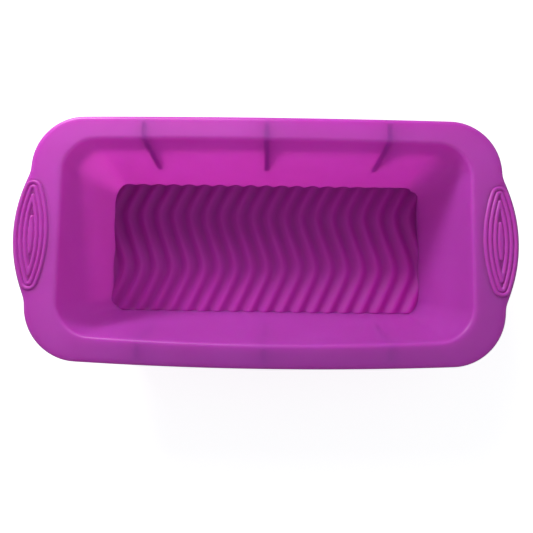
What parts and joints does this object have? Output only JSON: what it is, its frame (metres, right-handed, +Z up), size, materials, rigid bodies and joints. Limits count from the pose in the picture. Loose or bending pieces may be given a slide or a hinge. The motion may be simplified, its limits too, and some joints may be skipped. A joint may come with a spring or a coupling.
{
  "type": "soap loaf mould",
  "caption": "Flexible silicone loaf mould for soap: drafted tub with a wave-ribbed floor, a wide crowned rim and a leaf-shaped finger grip on each end.",
  "frame": {"origin": "middle of the flat underside, where the mould stands on the table", "axes": "+X along the mould's length, towards one grip tab; +Y across it; +Z up, out of the open mouth"},
  "size_m": [0.275, 0.1376, 0.0623],
  "materials": {
    "silicone": "matte"
  },
  "bodies": {
    "root": {"back_gussets": "silicone", "back_left_rim_corner": "silicone", "back_left_wall_corner": "silicone", "back_right_rim_corner": "silicone", "back_right_wall_corner": "silicone", "back_rim": "silicone", "back_wall": "silicone", "base_panel": "silicone", "front_gussets": "silicone", "front_left_rim_corner": "silicone", "front_left_wall_corner": "silicone", "front_right_rim_corner": "silicone", "front_right_wall_corner": "silicone", "front_rim": "silicone", "front_wall": "silicone", "left_grip_beads": "silicone", "left_grip_tab": "silicone", "left_rim": "silicone", "left_wall": "silicone", "right_grip_beads": "silicone", "right_grip_tab": "silicone", "right_rim": "silicone", "right_wall": "silicone", "wave_ribs": "silicone"}
  },
  "joints": []
}
